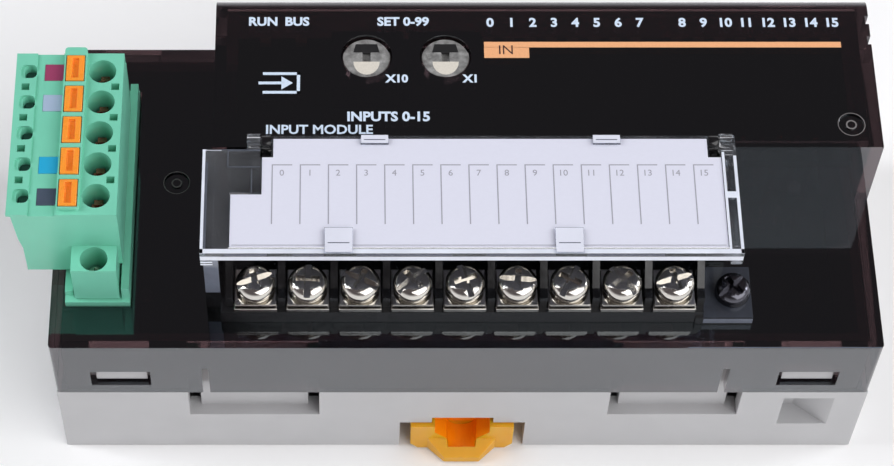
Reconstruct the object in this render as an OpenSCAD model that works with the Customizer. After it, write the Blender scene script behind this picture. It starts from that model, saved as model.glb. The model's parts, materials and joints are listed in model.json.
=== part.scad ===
// Remote input module for a 35 mm top-hat rail, millimetres.
// X runs along the rail, Y points to the rear long side, Z points away from the rail.
// The origin is the centre of the rail seat. Heights named *_h are measured from the back plane.

/* [Housing] */
// Width along the rail
body_w = 115; // [100:1:140]
// Depth across the rail
body_d = 50; // [49:1:60]
// Height of the base case, up to the joint with the cover
base_h = 16.5; // [16:0.5:20]
// Height of the low deck
deck_h = 29.5; // [28:0.5:36]
// Height of the tall rear part above the deck
tall_rise = 13.5; // [11:0.1:18]
// Depth of the tall part, from the rear face forwards
tall_d = 25.9; // [25:0.1:30]
// Distance from the left side to the tall part
tall_x = 22.6; // [20:0.1:26]
// Radius of the tall part's rear top edge
tall_r = 2.6; // [1.7:0.1:3]
// Wall of the cover
cover_wall = 1.6; // [1.2:0.1:2]
// Wall of the base case
base_wall = 2.4; // [2.2:0.1:3]
// Floor of the base case
base_floor = 1.8; // [1.2:0.1:2.2]
// Wall of the tongue that the cover slides over
tongue_t = 1.3; // [1:0.1:1.6]
// Gap between the cover and the tongue
tongue_gap = 0.15; // [0.1:0.05:0.2]

/* [Rail] */
// Width of the rail
rail_w = 35; // [35]
// Thickness of the rail's flanges
rail_t = 1; // [1]
// Depth of the rail seat above the back plane
seat_depth = 5; // [5:0.25:6]
// Half width of the seat pad
seat_y = 15.9; // [14:0.1:16]
// How far the hooks reach under the rail's edges
hook_bite = 1.35; // [1.1:0.05:1.5]
// Width of the lock slide
lock_w = 14.9; // [12:0.1:16]
// Sideways place of the lock slide
lock_x = 0.4; // [-2:0.1:2]
// Travel of the lock slide
lock_travel = 3.5; // [2.5:0.1:4]

/* [Terminal block] */
// Number of terminals in each of the two rows
terminals = 9; // [9]
// Height of the lower ledge above the deck
low_ledge = 2.7; // [2.2:0.1:3.2]
// Height of the upper ledge above the lower one
ledge_step = 5; // [4:0.1:6]
// Thickness of the partitions
partition_t = 1; // [0.8:0.1:1.4]
// Diameter of a terminal screw's head
head_d = 5.4; // [5:0.1:6.6]
// Diameter of a terminal screw's shank
screw_d = 2.9; // [2.5:0.05:3.5]
// Gap between a washer and the partition beside it
washer_gap = 0.29; // [0.2:0.01:0.5]
// Thickness of a clamping plate
plate_t = 0.8; // [0.6:0.1:1]

/* [Terminal cover] */
// Height of the cover's top face above the tall part
lid_rise = 3; // [2.8:0.1:4]
// Thickness of the cover's plate
lid_t = 1.4; // [1.2:0.1:1.6]
// Depth of the cover, from its front edge to the hinge axis
lid_d = 18.35; // [16:0.05:21]
// Radius of the hinge knuckles
knuckle_r = 1.35; // [1.25:0.05:1.4]
// Radius of the hinge pins
pin_r = 0.75; // [0.6:0.05:0.8]
// Thickness of the label card
card_t = 0.25; // [0.2:0.05:0.3]

/* [Connector] */
// Number of poles
poles = 5; // [5]
// Distance between poles
pole_pitch = 5.08; // [5:0.04:6.1]
// Height of the plug's top face above the deck
plug_rise = 16.5; // [14:0.5:20]
// Diameter of the wire entries
wire_d = 3.8; // [3.2:0.1:4.4]
// Width of the header across its shroud
header_w = 9; // [8.6:0.1:9.2]
// Wall of the header's shroud
header_wall = 1.1; // [0.9:0.1:1.2]
// Gap between the plug and the shroud
plug_gap = 0.3; // [0.25:0.05:0.4]
// Width of a release lever
release_w = 2.5; // [2.2:0.1:3]
// Travel of a release lever
release_travel = 1.5; // [1:0.1:1.8]

/* [Address switches] */
// Diameter of the holes for the dials
dial_hole_d = 7.2; // [6.5:0.1:8.7]
// Side of a switch's square body
switch_side = 10; // [9:0.1:12]
// Gap between the two switch bodies
switch_gap = 1.1; // [0.5:0.1:2]

/* [Circuit boards] */
// Thickness of the boards
board_t = 1.6; // [1.2:0.1:1.8]
// Height of the main board's underside
main_board_h = 12; // [11:0.1:12.5]
// Distance between indicator lamps
lamp_pitch = 3.02; // [2.8:0.02:3.1]

/* [Hidden] */
$fn = 48;
eps = 0.01;
fit = 0.3;          // gap between pieces that move past each other
near = 0.15;        // gap between pieces that stay together
left = -body_w / 2;
right = body_w / 2;
front = -body_d / 2;
rear = body_d / 2;
back_z = -seat_depth;
split_z = base_h - seat_depth;
deck_z = deck_h - seat_depth;
tall_z = deck_z + tall_rise;
tall_left = left + tall_x;
tall_front = rear - tall_d;
channel_y = rail_w / 2 + 0.2;
channel_wall = 1.6;
tongue_out = cover_wall + tongue_gap;      // inset of the tongue's outer face
tongue_in = tongue_out + tongue_t;         // inset of the tongue's inner face
tongue_top = deck_z - cover_wall - 0.4;

main_z = main_board_h - seat_depth;
main_top = main_z + board_t;
board_post_x = [left + 12, right - 7];     // posts under the main board
board_post_y = [-8, 12];
board_post_d = 5;
board_pip_d = 2;
chip_y = rear - 11;                        // line of the chips behind the boards' pins

// Lock slide and its pocket
hook_z = -rail_t - 0.3;                    // top of the hooks, just under the rail's flange
hook_base = back_z + 0.3;
hook_tip = rail_w / 2 - hook_bite;
lock_half = lock_w / 2;
lock_top = 1.9;
plate_bottom = 0.8;
ledge_top = 0.6;
ledge_reach = 1.1;
pocket_half = lock_half + 1.6;
pocket_roof = 2.1;
pocket_end = -4.2;
pocket_wall = 1.5;
stop_side = 1.6;                           // a peg in the pocket, which a slot in the slide runs along
stop_y = -13;
lock_face = front - 0.6;
lock_tip = front - 2.9;

// Base details
window_w = 8.4;
window_z0 = split_z + 2.2;
window_h = 3.9;
window_x = [left + 9.4, right - 9.2];
latch_proud = 1.0;
recess_w = 18.6;
recess_x = [left + 27.9, right - 27.1];
recess_z0 = split_z - 6.8;
slot_w = 1.6;
marker_w = 7.2;
marker_h = 7.9;
marker_x = right - 8;
marker_z = split_z - 5.8;
marker_depth = 3.4;

// Terminal block
block_z0 = deck_z + 0.05;
block_back = tall_front - fit;
low_z = deck_z + low_ledge;
high_z = low_z + ledge_step;
washer_side = head_d + 0.2;
terminal_pitch = washer_side + 2 * washer_gap + partition_t;
high_front = block_back - washer_side - 4.8;
low_front = high_front - washer_side - 3.7;
row_span = (terminals - 1) * terminal_pitch;
low_x0 = tall_left + 6;                    // first terminal of the lower row
high_x0 = low_x0 + terminal_pitch / 2;     // first terminal of the upper row
block_left = low_x0 - terminal_pitch / 2 - 1.2;
end_wall_t = 2.1;
side_wall_t = 1.1;
high_left = high_x0 - terminal_pitch / 2 - partition_t / 2;
high_right = high_x0 + row_span + terminal_pitch / 2 + 0.7;
low_right = low_x0 + row_span + terminal_pitch / 2 + partition_t / 2;
low_y = low_front + washer_side / 2 + 0.25; // line of the lower screws
high_y = high_front + washer_side / 2 + 2.3;
washer_t = 0.5;
spring_washer_t = 0.7;
head_h = 1.8;
lift_gap = 0.3;                            // screws stand slightly loose
shank_l = plate_t + lift_gap + washer_t + spring_washer_t + low_ledge - 0.6;
bore_gap = 0.05;
ear_w = 6.9;
ear_d = 8.3;
ear_h = 1.55;
ear_x = low_right + 4.3;
ear_y = low_front - 0.3;
fix_x = [high_left - 2.3, ear_x];
fix_y = [high_y, ear_y + 4.1];
fix_seat = [low_z, block_z0 + ear_h];
fix_d = 3;
fix_head_d = 4.9;
tongue_y = [high_y - 2.4, high_y + 2.4];
tongue_x = [high_left + 1.8, high_right - 2.6];
block_tongue_z = deck_z - 5.5;
contact_tip = (main_top + block_tongue_z) / 2 + 0.2;

// Terminal cover and its hinge
lid_z = tall_z + lid_rise;
lid_bottom = lid_z - lid_t;
hinge_y = block_back - 0.15;
hinge_z = lid_z - knuckle_r;
lid_front = hinge_y - lid_d;
lid_left = block_left - end_wall_t - 0.2;
lid_right = high_right + 0.1;
post_t = 1.2;
post_d = 1.6;
knuckle_w = 1.8;
post_x = [high_left + 1.4, high_right - 3.3]; // left faces of the posts
notch_depth = 3.2;
card_top = lid_z - 0.2;
card_floor = card_top - card_t - 0.05;
card_left = lid_left + 3.9;
card_right = lid_right - 2;
card_front = lid_front + 1.1;
clip_w = 3.8;
clip_t = 0.45;
rear_clip_x = [lid_left + 23.4, lid_left + 55];
front_clip_x = [lid_left + 18.5, lid_left + 49.3];

// Connector
header_x0 = left + 2.1;
header_x1 = header_x0 + header_w;
plug_y = -0.5;
pole_span = (poles - 1) * pole_pitch;
plug_len = poles * pole_pitch + 1;
plug_y0 = plug_y - plug_len / 2;
plug_y1 = plug_y + plug_len / 2;
flange_len = 4.2;
header_y0 = plug_y0 - flange_len - 0.3;
header_y1 = plug_y1 + flange_len + 0.3;
plug_z = deck_z + plug_rise;
plug_bottom = deck_z + 2.1;
left_shroud_z = deck_z + 1.7;
right_shroud_z = deck_z + 3.4;
shroud_floor = deck_z - 5.5;
insert_x0 = header_x0 + header_wall + plug_gap;
insert_x1 = header_x1 - header_wall - plug_gap;
insert_z = shroud_floor + 0.5;
plug_x1 = header_x1 - 0.9;
ear_top = deck_z + 0.8;
flange_top = deck_z + 8.5;
strip_top = plug_z + 0.8;
wire_x = plug_x1 - wire_d / 2 - 1;
release_x = wire_x - wire_d / 2 - release_w / 2 - 0.55; // centre line of the levers
plug_x0 = release_x - release_w / 2 - 7.05;
release_len = pole_pitch - 0.88;
chamber_z0 = plug_z - release_travel - 10.5;
chamber_z1 = plug_z - 5;
chamber_half = wire_d / 2 + 0.05;
spring_tip_z = chamber_z0 + 3;
spring_top = chamber_z1 - 1.4;             // the springs start below the wires' round entries
lever_bottom = spring_tip_z + release_travel + 1.3;
lever_head = 3;                            // depth of the wide part of a lever
flange_x = (insert_x0 + insert_x1) / 2;
flange_y = [plug_y0 - flange_len / 2, plug_y1 + flange_len / 2];
contact_x = flange_x;
marker_side = 2.75;
marker_depth_z = 0.8;
tile_x = release_x - release_w / 2 - 1.7;  // centre line of the colour markers
flange_screw_d = 2.5;
flange_head_d = 3.4;
flange_seat = flange_top - 5.8;            // underside of the flange screws' heads
pin_side = 1;

// Boards and switches
display_top = tall_z - cover_wall - 5;
display_z = display_top - board_t;
display_x0 = tall_left + cover_wall + 1.4;
display_x1 = right - cover_wall - 1.4;
display_y0 = tall_front + cover_wall + 1.4;
display_y1 = rear - tongue_in - 0.4;
link_pins = 10;
link_pitch = 2.54;
link_side = 0.64;
lamp_y = rear - 2.9 - cover_wall;
lamp_w = 1.6;
lamp_d = 1;
lamp_h = 1.1;
switch_x = [tall_left + 21.3, tall_left + 21.3 + switch_side + switch_gap];
switch_y = lamp_y - lamp_d / 2 - 0.6 - switch_side / 2;
switch_top = tall_z - cover_wall - 0.2;
dial_r = dial_hole_d / 2 - 0.25;
dial_top = tall_z - 0.35;
dial_bottom = switch_top + 0.1;
spindle_r = 1.5;
spindle_depth = 2;
lamp_x = [right - 5.4 - 48.2, right - 5.4 - 7 * lamp_pitch]; // first lamp of each group of eight
status_x = [tall_left + 6.9, tall_left + 12];

// ---- Shared shapes ----

// A box between two corners
module block(low, high) {
    translate(low) cube(high - low);
}

// A 2D shape in the YZ plane, extruded along X from x0 to x1
module along_x(x0, x1) {
    translate([x0, 0, 0]) rotate([90, 0, 90]) linear_extrude(x1 - x0) children();
}

// A 2D shape in the XZ plane, extruded along Y from y0 to y1
module along_y(y0, y1) {
    translate([0, y1, 0]) rotate([90, 0, 0]) linear_extrude(y1 - y0) children();
}

// A cylinder along X from x0 to x1
module rod_x(x0, x1, y, z, r) {
    translate([x0, y, z]) rotate([0, 90, 0]) cylinder(r = r, h = x1 - x0);
}

// A rectangle with round corners
module round_rect(low, high, r) {
    translate([low[0] + r, low[1]]) square([high[0] - low[0] - 2 * r, high[1] - low[1]]);
    translate([low[0], low[1] + r]) square([high[0] - low[0], high[1] - low[1] - 2 * r]);
    for (x = [low[0] + r, high[0] - r], y = [low[1] + r, high[1] - r]) translate([x, y]) circle(r);
}

// Section of the tall part across the rail, drawn inwards by an inset
module tall_section(inset, z0) {
    r = tall_r - inset;
    translate([tall_front + inset, z0]) square([tall_d - 2 * inset, tall_z - tall_r - z0]);
    translate([tall_front + inset, z0]) square([tall_d - inset - tall_r, tall_z - inset - z0]);
    translate([rear - tall_r, tall_z - tall_r]) circle(r);
}

// A pan head with its underside at z = 0, slotted and crossed
module pan_head(d, h, turn) {
    slot = 0.16 * d;
    difference() {
        rotate_extrude() polygon([
            [0, 0], [d / 2, 0], [d / 2, 0.45 * h], [0.46 * d, 0.72 * h], [0.36 * d, 0.93 * h],
            [0.2 * d, h], [0, h]
        ]);
        rotate(turn) {
            block([-d, -slot / 2, 0.55 * h], [d, slot / 2, 2 * h]);
            block([-slot / 2, -0.3 * d, 0.35 * h], [slot / 2, 0.3 * d, 2 * h]);
        }
    }
}

// A screw with its head's underside at z = 0
module screw(d, l, head, h, turn) {
    translate([0, 0, -l]) cylinder(d = d, h = l + eps);
    pan_head(head, h, turn);
}

// Puts a copy at each terminal of a row
module each_terminal(x0, y, z) {
    for (i = [0 : terminals - 1]) translate([x0 + i * terminal_pitch, y, z]) children();
}

// Puts a copy at each pole of the connector
module each_pole(x, z) {
    for (i = [0 : poles - 1]) translate([x, pole_y(i), z]) children();
}

function pole_y(i) = plug_y - pole_span / 2 + i * pole_pitch;

// How far a terminal's screw is turned, so that a row looks hand-tightened
function screw_turn(i) = (i * 67 + 20) % 180;

// ---- Base case ----

module base_outline() {
    polygon([
        [front, back_z], [-channel_y, back_z], [-channel_y, 0.4], [-seat_y, 0.4], [-seat_y, 0],
        [seat_y, 0], [seat_y, 0.4], [channel_y, 0.4], [channel_y, back_z], [rear, back_z],
        [rear, split_z], [front, split_z]
    ]);
}

module base_inside() {
    strip = channel_y + channel_wall;
    floor_z = back_z + base_floor;
    roof_z = 0.4 + base_floor;
    polygon([
        [front + base_wall, floor_z], [-strip, floor_z], [-strip, roof_z], [strip, roof_z],
        [strip, floor_z], [rear - base_wall, floor_z], [rear - base_wall, split_z + 1],
        [front + base_wall, split_z + 1]
    ]);
}

// The tongue: a wall that stands inside the cover
module tongue() {
    root = split_z - 2;
    difference() {
        block([left + tongue_out, front + tongue_out, root],
            [right - tongue_out, rear - tongue_out, tongue_top]);
        block([left + tongue_in, front + tongue_in, root - 1],
            [right - tongue_in, rear - tongue_in, tongue_top + 1]);
        block([left, header_y0 - 0.5, root - 1], [left + tongue_in + 1, header_y1 + 0.5, tongue_top + 1]);
    }
}

// A latch wedge on the front or rear tongue, which snaps into a window of the cover
module latch(x, side) {
    y = side * (rear - tongue_out);
    z = window_z0 + 0.5;
    along_x(x - window_w / 2 + 0.7, x + window_w / 2 - 0.5) polygon([
        [y - side * 0.5, z], [y + side * latch_proud, z], [y + side * latch_proud, z + 1.2],
        [y, z + window_h - 0.9], [y - side * 0.5, z + window_h - 0.9]
    ]);
}

// The pocket that the lock slide runs in, as a solid
module lock_housing() {
    half = pocket_half + pocket_wall;
    block([lock_x - half, front, back_z], [lock_x + half, -channel_y, pocket_roof + 3.1]);
    block([lock_x - half, -channel_y - eps, 0],
        [lock_x + half, pocket_end + pocket_wall, pocket_roof + pocket_wall]);
}

// What is cut out of the housing for the lock slide
module lock_pocket() {
    block([lock_x - pocket_half, front - 1, back_z - 1], [lock_x + pocket_half, -seat_y, pocket_roof]);
    block([lock_x - pocket_half, -seat_y - eps, ledge_top], [lock_x + pocket_half, pocket_end, pocket_roof]);
    block([lock_x - pocket_half + ledge_reach, -seat_y - eps, -1],
          [lock_x + pocket_half - ledge_reach, pocket_end, ledge_top + eps]);
    block([lock_x - 4.45, front - 1, 0], [lock_x + 4.45, front + 1.6, pocket_roof + 1.5]);
}

// Posts that carry the main board
module board_posts() {
    for (x = board_post_x, y = board_post_y) translate([x, y, 0.5]) {
        cylinder(d = board_post_d, h = main_z - 0.5);
        cylinder(d = board_pip_d, h = main_top + 0.1);
    }
}

// The blind marker pocket in the front wall
module marker_housing() {
    half = marker_w / 2 + 1.2;
    block([marker_x - half, front, marker_z - marker_h / 2 - 1.2],
          [marker_x + half, front + marker_depth + 1.2, min(marker_z + marker_h / 2 + 1.2, split_z - eps)]);
}

module marker_pocket() {
    z0 = marker_z - marker_h / 2;
    translate([0, 0, z0]) linear_extrude(marker_h) polygon([
        [marker_x - marker_w / 2, front - 1], [marker_x + marker_w / 2, front - 1],
        [marker_x + marker_w / 2, front], [marker_x - marker_w / 2 + 2.6, front + marker_depth],
        [marker_x - marker_w / 2, front + marker_depth]
    ]);
}

// The stepped recess in the front wall: the wall is open, and the tongue behind it reaches down
module front_recess(x) {
    block([x - recess_w / 2, front - 1, recess_z0], [x + recess_w / 2, front + tongue_out, split_z + 1]);
    for (side = [-1, 1]) {
        edge = x + side * (recess_w / 2 - slot_w / 2);
        block([edge - slot_w / 2, front - 1, recess_z0],
            [edge + slot_w / 2, front + tongue_in + 1, split_z + 3]);
    }
}

module base_case() {
    color("gainsboro") difference() {
        union() {
            difference() {
                along_x(left, right) base_outline();
                along_x(left + base_wall, right - base_wall) base_inside();
            }
            tongue();
            lock_housing();
            board_posts();
            marker_housing();
            for (x = window_x, side = [-1, 1]) latch(x, side);
            // Fixed hooks along the rear edge of the channel
            for (x = [left + 14, 0, right - 14]) along_x(x - 6, x + 6) polygon([
                [channel_y + 1, hook_base], [channel_y + 1, hook_z], [hook_tip, hook_z],
                [hook_tip, hook_z - 1.2], [channel_y - 0.4, hook_base]
            ]);
            // Panels behind the two front recesses
            for (x = recess_x) {
                block([x - recess_w / 2, front + tongue_out, recess_z0 - 1],
                      [x + recess_w / 2, front + tongue_in, split_z]);
            }
        }
        difference() {
            lock_pocket();
            block([lock_x - stop_side / 2, stop_y - stop_side / 2, plate_bottom + fit],
                  [lock_x + stop_side / 2, stop_y + stop_side / 2, pocket_roof + 1]);
        }
        marker_pocket();
        for (x = recess_x) front_recess(x);
        // Room for the connector header
        block([header_x0 - near, header_y0 - near, main_z - 1], [header_x1 + near, header_y1 + near, deck_z]);
    }
}

// ---- Front cover ----

module cover_windows() {
    for (x = window_x, side = [-1, 1]) {
        y = side * rear;
        block([x - window_w / 2, y - cover_wall - 0.5, window_z0],
              [x + window_w / 2, y + cover_wall + 0.5, window_z0 + window_h]);
    }
}

// A shallow gate mark: a round pit with a nub in the middle
module gate_pit(x, y, z) {
    translate([x, y, z - 0.35]) difference() {
        cylinder(r1 = 1.7, r2 = 2, h = 1);
        cylinder(r = 0.75, h = 0.25);
    }
}

module front_cover() {
    header_gap = 0.25;
    color([0.13, 0.12, 0.13]) difference() {
        union() {
            translate([0, 0, split_z]) linear_extrude(deck_z - split_z)
                round_rect([left, front], [right, rear], 0.6);
            along_x(tall_left, right) tall_section(0, split_z + 1);
        }
        // Inside
        block([left + cover_wall, front + cover_wall, split_z - 1],
              [right - cover_wall, rear - cover_wall, deck_z - cover_wall]);
        along_x(tall_left + cover_wall, right - cover_wall) tall_section(cover_wall, split_z);
        // Openings
        cover_windows();
        for (x = switch_x) translate([x, switch_y, tall_z - 4]) cylinder(d = dial_hole_d, h = 6);
        block([header_x0 - header_gap, header_y0 - header_gap, deck_z - 3],
              [header_x1 + header_gap, header_y1 + header_gap, deck_z + 1]);
        block([tongue_x[0] - 0.4, tongue_y[0] - 0.4, deck_z - 3],
            [tongue_x[1] + 0.4, tongue_y[1] + 0.4, deck_z + 1]);
        for (i = [0, 1]) translate([fix_x[i], fix_y[i], deck_z - 3]) cylinder(d = fix_d + 0.2, h = 4);
        // Relief slots in the skirt, above the recesses
        for (x = [recess_x[0] - recess_w / 2 + 2.7, recess_x[1] + recess_w / 2 - 3.1]) {
            block([x - 0.5, front - 1, split_z - 1], [x + 0.5, front + cover_wall + 0.05, split_z + 7]);
        }
        // Grip notches beside the right rear corner
        for (y = [rear - 4.4, rear - 7.9]) {
            block([right - 0.5, y - 0.7, tall_z - 9], [right + 1, y + 0.7, tall_z + 1]);
        }
        gate_pit(left + 16.9, 1.9, deck_z);
        gate_pit(right - 4.1, 2.9, tall_z);
        translate([right - 25.1, front + 1.4, deck_z - 0.3]) cylinder(d = 1, h = 1);
    }
}

// ---- Boards and what stands on them ----

module main_board() {
    edge = max(base_wall, tongue_in) + near;
    color("darkgreen") difference() {
        block([left + edge, front + edge, main_z], [right - edge, rear - edge, main_top]);
        for (x = board_post_x, y = board_post_y) {
            translate([x, y, main_z - 1]) cylinder(d = board_pip_d + 0.2, h = board_t + 2);
        }
        each_pole(contact_x, main_z - 1) block([-0.6, -0.6, 0], [0.6, 0.6, board_t + 2]);
        marker_edge = marker_w / 2 + 1.5;
        block([marker_x - marker_edge, front, main_z - 1],
              [marker_x + marker_edge, front + marker_depth + 1.5, main_top + 1]);
    }
}

module display_board() {
    color("darkgreen") difference() {
        block([display_x0, display_y0, display_z], [display_x1, display_y1, display_top]);
        link_places() cylinder(d = 1.1, h = 3 * board_t, center = true);
    }
}

// Puts a copy at each pin that links the two boards
module link_places() {
    for (i = [0 : link_pins - 1]) {
        translate([display_x1 - 28 + i * link_pitch, display_y0 + 2, display_z]) children();
    }
}

module board_link_pins() {
    half = link_side / 2;
    color("gold") link_places() {
        block([-half, -half, main_top - display_z + eps], [half, half, board_t + 0.8]);
    }
}

module chip(x, y, w, d, h) {
    color([0.12, 0.12, 0.12])
        block([x - w / 2, y - d / 2, main_top + eps], [x + w / 2, y + d / 2, main_top + h]);
}

module controller_chip() {
    chip(right - 30, chip_y, 14, 12, 1.6);
}

module network_chip() {
    chip(left + 20, chip_y, 7.5, 5, 2);
}

module photocouplers() {
    for (i = [0 : 7]) chip(left + 34 + i * 7.4, front + 8, 4.4, 6.5, 2.1);
}

module filter_capacitors() {
    color("silver") for (x = [left + 30, left + 39]) {
        translate([x, chip_y, main_top + eps]) cylinder(d = 6.3, h = 7.7);
    }
}

module lamp() {
    block([-lamp_w / 2, -lamp_d / 2, eps], [lamp_w / 2, lamp_d / 2, lamp_h]);
}

module status_lamps() {
    color("palegreen") for (x = status_x) translate([x, lamp_y, display_top]) lamp();
}

module input_lamps() {
    color("gold") for (x = lamp_x, i = [0 : 7]) translate([x + i * lamp_pitch, lamp_y, display_top]) lamp();
}

module switch_body(x) {
    color("dimgray") translate([x, switch_y, 0]) difference() {
        block([-switch_side / 2, -switch_side / 2, display_top + eps],
            [switch_side / 2, switch_side / 2, switch_top]);
        translate([0, 0, switch_top - spindle_depth - 0.2])
            cylinder(r = spindle_r + 0.05, h = spindle_depth + 1);
    }
}

module switch_body_x10() {
    switch_body(switch_x[0]);
}

module switch_body_x1() {
    switch_body(switch_x[1]);
}

// A dial with a screwdriver slot and a raised pointer half
module address_dial(x) {
    color("lightsteelblue") translate([x, switch_y, 0]) difference() {
        union() {
            translate([0, 0, switch_top - spindle_depth]) cylinder(r = spindle_r, h = spindle_depth + 0.5);
            translate([0, 0, dial_bottom]) cylinder(r = dial_r, h = dial_top - dial_bottom);
        }
        block([-0.55, -dial_r + 1, dial_top - 0.9], [0.55, dial_r - 1, dial_top + 1]);
        translate([0, 0, dial_top - 0.35]) linear_extrude(1) polygon([
            [-dial_r, 0.9], [dial_r, 0.9], [dial_r, dial_r], [-dial_r, dial_r]
        ]);
    }
}

module address_dial_x10() {
    address_dial(switch_x[0]);
}

module address_dial_x1() {
    address_dial(switch_x[1]);
}

// The socket strip on the main board that the block plugs into
module block_socket() {
    color([0.15, 0.15, 0.15]) difference() {
        block([tongue_x[0] - 1, tongue_y[0] - 1, main_top + eps],
            [tongue_x[1] + 1, tongue_y[1] + 1, block_tongue_z - 0.5]);
        contact_places() block([-1, -0.8, main_top + 1], [1, 0.8, deck_z]);
    }
}

// Puts a copy at each contact between the block and its socket, two rows
module contact_places() {
    step = (tongue_x[1] - tongue_x[0] - 3) / (terminals - 1);
    for (i = [0 : terminals - 1], y = [high_y - 1.3, high_y + 1.3]) {
        translate([tongue_x[0] + 1.5 + i * step, y, 0]) children();
    }
}

// ---- Rail lock ----

module rail_lock() {
    half = lock_half;
    tab = [half - 2.5, half - 4.9];
    arm = 0.9;
    color("goldenrod") difference() {
        union() {
            // Front block, with its lower corners cut off
            along_y(lock_face, -channel_y - channel_wall) polygon([
                [lock_x - half, lock_top], [lock_x - half, hook_base + 1.3], [lock_x - half + 1.1, hook_base],
                [lock_x + half - 1.1, hook_base], [lock_x + half, hook_base + 1.3], [lock_x + half, lock_top]
            ]);
            // Pull tab, sloping down to its tip
            intersection() {
                translate([0, 0, hook_base]) linear_extrude(5) polygon([
                    [lock_x - tab[0], lock_face + 1], [lock_x - tab[0], lock_face],
                    [lock_x - tab[1], lock_tip],
                    [lock_x + tab[1], lock_tip], [lock_x + tab[0], lock_face],
                    [lock_x + tab[0], lock_face + 1]
                ]);
                along_x(lock_x - half, lock_x + half) polygon([
                    [lock_tip, hook_base], [lock_face + 1, hook_base], [lock_face + 1, hook_base + 3.6],
                    [lock_face, hook_base + 2.9], [lock_tip, hook_base + 1.3]
                ]);
            }
            // Hook under the rail's front edge
            along_x(lock_x - 5, lock_x + 5) polygon([
                [-channel_y - channel_wall - 1, hook_base], [-channel_y + 0.4, hook_base],
                [-hook_tip, hook_z - 1.2], [-hook_tip, hook_z], [-channel_y - channel_wall - 1, hook_z]
            ]);
            // Guide plate with two spring arms, and the slot that sets its travel
            difference() {
                block([lock_x - half, -channel_y - channel_wall - 2, plate_bottom],
                      [lock_x + half, pocket_end - 1, lock_top]);
                block([lock_x - stop_side / 2 - fit, stop_y - stop_side / 2 - fit, plate_bottom - 1],
                      [lock_x + stop_side / 2 + fit, stop_y + stop_side / 2 + lock_travel + near,
                          lock_top + 1]);
                block([lock_x - half + arm, -channel_y + 2, plate_bottom - 1],
                      [lock_x - half + arm + 1, pocket_end, lock_top + 1]);
                block([lock_x + half - arm - 1, -channel_y + 2, plate_bottom - 1],
                      [lock_x + half - arm, pocket_end, lock_top + 1]);
            }
        }
        // Hollow for a screwdriver's tip
        along_y(lock_face - 1, lock_face + 3.4) {
            polygon([
                [lock_x - 4, lock_top + 1], [lock_x - 4, lock_top - 1.8], [lock_x - 2.2, hook_base + 2.9],
                [lock_x + 2.2, hook_base + 2.9], [lock_x + 4, lock_top - 1.8], [lock_x + 4, lock_top + 1]
            ]);
            translate([lock_x, hook_base + 3.1]) circle(2.2);
        }
    }
}

// ---- Terminal block ----

// A partition of a row, standing on its ledge
module partition(x, y0, y1, z, low, high) {
    along_x(x - partition_t / 2, x + partition_t / 2) polygon([
        [y0, z - 0.5], [y1 + 0.3, z - 0.5], [y1 + 0.3, z + high], [y0 + 5, z + high],
        [y0 + 1.6, z + low], [y0, z + low]
    ]);
}

module hinge_post(i) {
    out = i == 0 ? -1 : 1;
    x = post_x[i];
    pin_end = i == 0 ? [x - knuckle_w, x + eps] : [x + post_t - eps, x + post_t + knuckle_w];
    block([x, block_back - post_d, high_z - 0.5], [x + post_t, block_back, hinge_z - 1.2]);
    along_x(x, x + post_t) {
        translate([hinge_y, hinge_z]) circle(1.1);
        polygon([
            [hinge_y - 1.1, hinge_z - 1.3], [block_back - eps, hinge_z - 1.3], [block_back - eps, hinge_z],
            [hinge_y - 1.1, hinge_z]
        ]);
        translate([block_back - post_d, hinge_z - 2]) square([post_d, 0.9]);
    }
    rod_x(pin_end[0], pin_end[1], hinge_y, hinge_z, pin_r);
}

module block_body() {
    wall_top = lid_bottom - 2;
    color([0.16, 0.16, 0.17]) difference() {
        union() {
            // The two steps
            block([block_left - eps, low_front, block_z0], [low_right, block_back, low_z]);
            block([high_left, high_front, block_z0], [high_right, block_back, high_z]);
            // End walls
            block([block_left - end_wall_t, low_front + 2.4, block_z0], [block_left, block_back, wall_top]);
            block([high_right - side_wall_t, high_front, block_z0], [high_right, block_back, wall_top]);
            // Rear wall
            block([high_left, block_back - 1, high_z - 0.5], [high_right, block_back, high_z + 3.8]);
            // Ear of the right fixing screw
            block([low_right - 1, ear_y, block_z0],
                [ear_x + ear_w / 2 - 0.8, ear_y + ear_d, block_z0 + ear_h]);
            for (i = [0 : terminals]) {
                partition(low_x0 + (i - 0.5) * terminal_pitch, low_front + 0.9, high_front, low_z, 2.3, 4.9);
            }
            for (i = [0 : terminals - 1]) {
                partition(high_x0 + (i - 0.5) * terminal_pitch, high_front + 0.4, block_back - 1,
                    high_z, 1.8, 3.8);
            }
            for (i = [0, 1]) hinge_post(i);
            // Tongue that reaches through the deck
            block([tongue_x[0], tongue_y[0], block_tongue_z], [tongue_x[1], tongue_y[1], block_z0 + 1]);
        }
        each_terminal(low_x0, low_y, block_z0 + 0.3) cylinder(d = screw_d + 2 * bore_gap, h = 10);
        each_terminal(high_x0, high_y, high_z - 5) cylinder(d = screw_d + 2 * bore_gap, h = 10);
        for (i = [0, 1]) translate([fix_x[i], fix_y[i], 0]) {
            translate([0, 0, block_z0 - 1]) cylinder(d = fix_d + 2 * bore_gap, h = 30);
            translate([0, 0, fix_seat[i]]) cylinder(d = fix_head_d + 0.6, h = 30);
        }
        contact_places() block([-0.45, -0.35, block_tongue_z - 1], [0.45, 0.35, block_z0]);
    }
}

module block_contacts() {
    color("goldenrod") contact_places() block([-0.4, -0.3, contact_tip], [0.4, 0.3, block_z0 - 0.1]);
}

// A clamping plate with its front edge folded down
module terminal_plate() {
    w = terminal_pitch - partition_t - 0.3;
    difference() {
        block([-w / 2, -washer_side / 2 - 0.2, eps], [w / 2, washer_side / 2 + 0.6, plate_t]);
        translate([0, 0, -1]) cylinder(d = screw_d + 0.3, h = 4);
    }
}

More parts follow.
